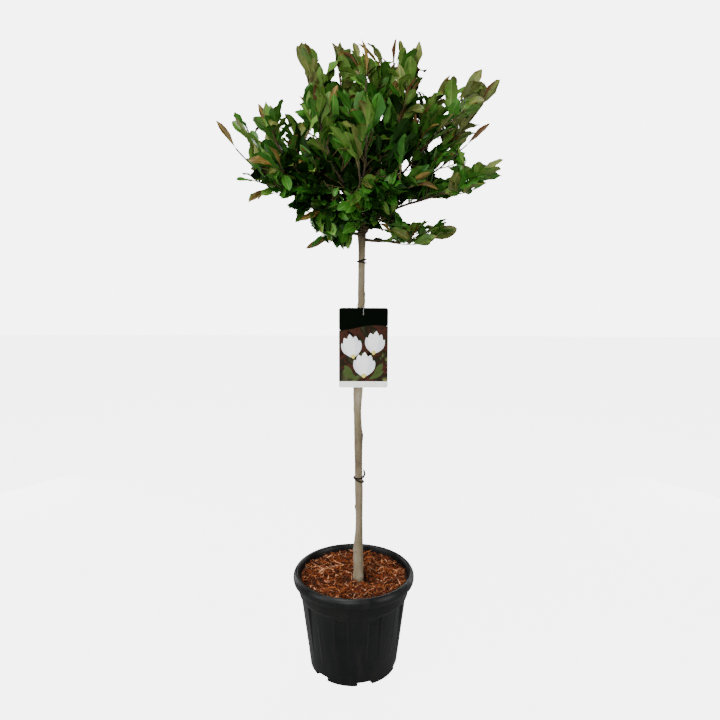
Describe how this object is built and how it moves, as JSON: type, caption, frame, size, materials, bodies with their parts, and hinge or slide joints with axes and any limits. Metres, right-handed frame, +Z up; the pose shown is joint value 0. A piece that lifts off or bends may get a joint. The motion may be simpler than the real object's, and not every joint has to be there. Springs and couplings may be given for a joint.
{
  "type": "potted magnolia tree",
  "caption": "Young star magnolia grown as a standard: a clear stem with an open, leafy head, in a fluted nursery pot topped with bark mulch, with a hanging plant label and stem ties.",
  "frame": {"origin": "centre of the pot's flat underside, on the surface that the pot stands on", "axes": "+Z up along the stem, -Y out of the front, which is the side that the label faces, and +X to the right as seen from the front"},
  "size_m": [0.6984, 0.5658, 1.63],
  "materials": {
    "pot_plastic": "black injection-moulded plastic with a slight satin sheen",
    "bark_mulch": "reddish brown shredded bark",
    "stem_bark": "pale grey-tan smooth bark",
    "bough_bark": "grey-brown twig bark",
    "foliage": "leaves, slightly glossy green, bronze at the shoot tips",
    "label_card": "printed plastic card",
    "strap_plastic": "pale grey plastic strap",
    "tie_rubber": "dark brown tie tube"
  },
  "bodies": {
    "root": {"pot": "pot_plastic", "mulch": "bark_mulch", "trunk": "stem_bark", "label": "label_card", "label_strap": "strap_plastic", "upper_tie": "tie_rubber", "lower_tie": "tie_rubber", "bough_left_low": "bough_bark", "leaves_left_low": "foliage", "bough_left_droop": "bough_bark", "leaves_left_droop": "foliage", "bough_left_mid": "bough_bark", "leaves_left_mid": "foliage", "bough_left_top": "bough_bark", "leaves_left_top": "foliage", "bough_centre_left_top": "bough_bark", "leaves_centre_left_top": "foliage", "bough_centre_right_top": "bough_bark", "leaves_centre_right_top": "foliage", "bough_right_top": "bough_bark", "leaves_right_top": "foliage", "bough_right_crest": "bough_bark", "leaves_right_crest": "foliage", "bough_right_inner": "bough_bark", "leaves_right_inner": "foliage", "bough_right_upper": "bough_bark", "leaves_right_upper": "foliage", "bough_right_far": "bough_bark", "leaves_right_far": "foliage", "bough_right_mid": "bough_bark", "leaves_right_mid": "foliage", "bough_right_low": "bough_bark", "leaves_right_low": "foliage", "bough_right_spur": "bough_bark", "leaves_right_spur": "foliage", "bough_front_right": "bough_bark", "leaves_front_right": "foliage", "bough_front_mid": "bough_bark", "leaves_front_mid": "foliage", "bough_front_left": "bough_bark", "leaves_front_left": "foliage", "bough_front_centre": "bough_bark", "leaves_front_centre": "foliage", "bough_front_low": "bough_bark", "leaves_front_low": "foliage", "bough_front_under": "bough_bark", "leaves_front_under": "foliage", "bough_left_under": "bough_bark", "leaves_left_under": "foliage", "bough_back_left": "bough_bark", "leaves_back_left": "foliage", "bough_back_mid": "bough_bark", "leaves_back_mid": "foliage", "bough_back_right": "bough_bark", "leaves_back_right": "foliage", "bough_back_low_left": "bough_bark", "leaves_back_low_left": "foliage", "bough_back_low_right": "bough_bark", "leaves_back_low_right": "foliage"}
  },
  "joints": []
}
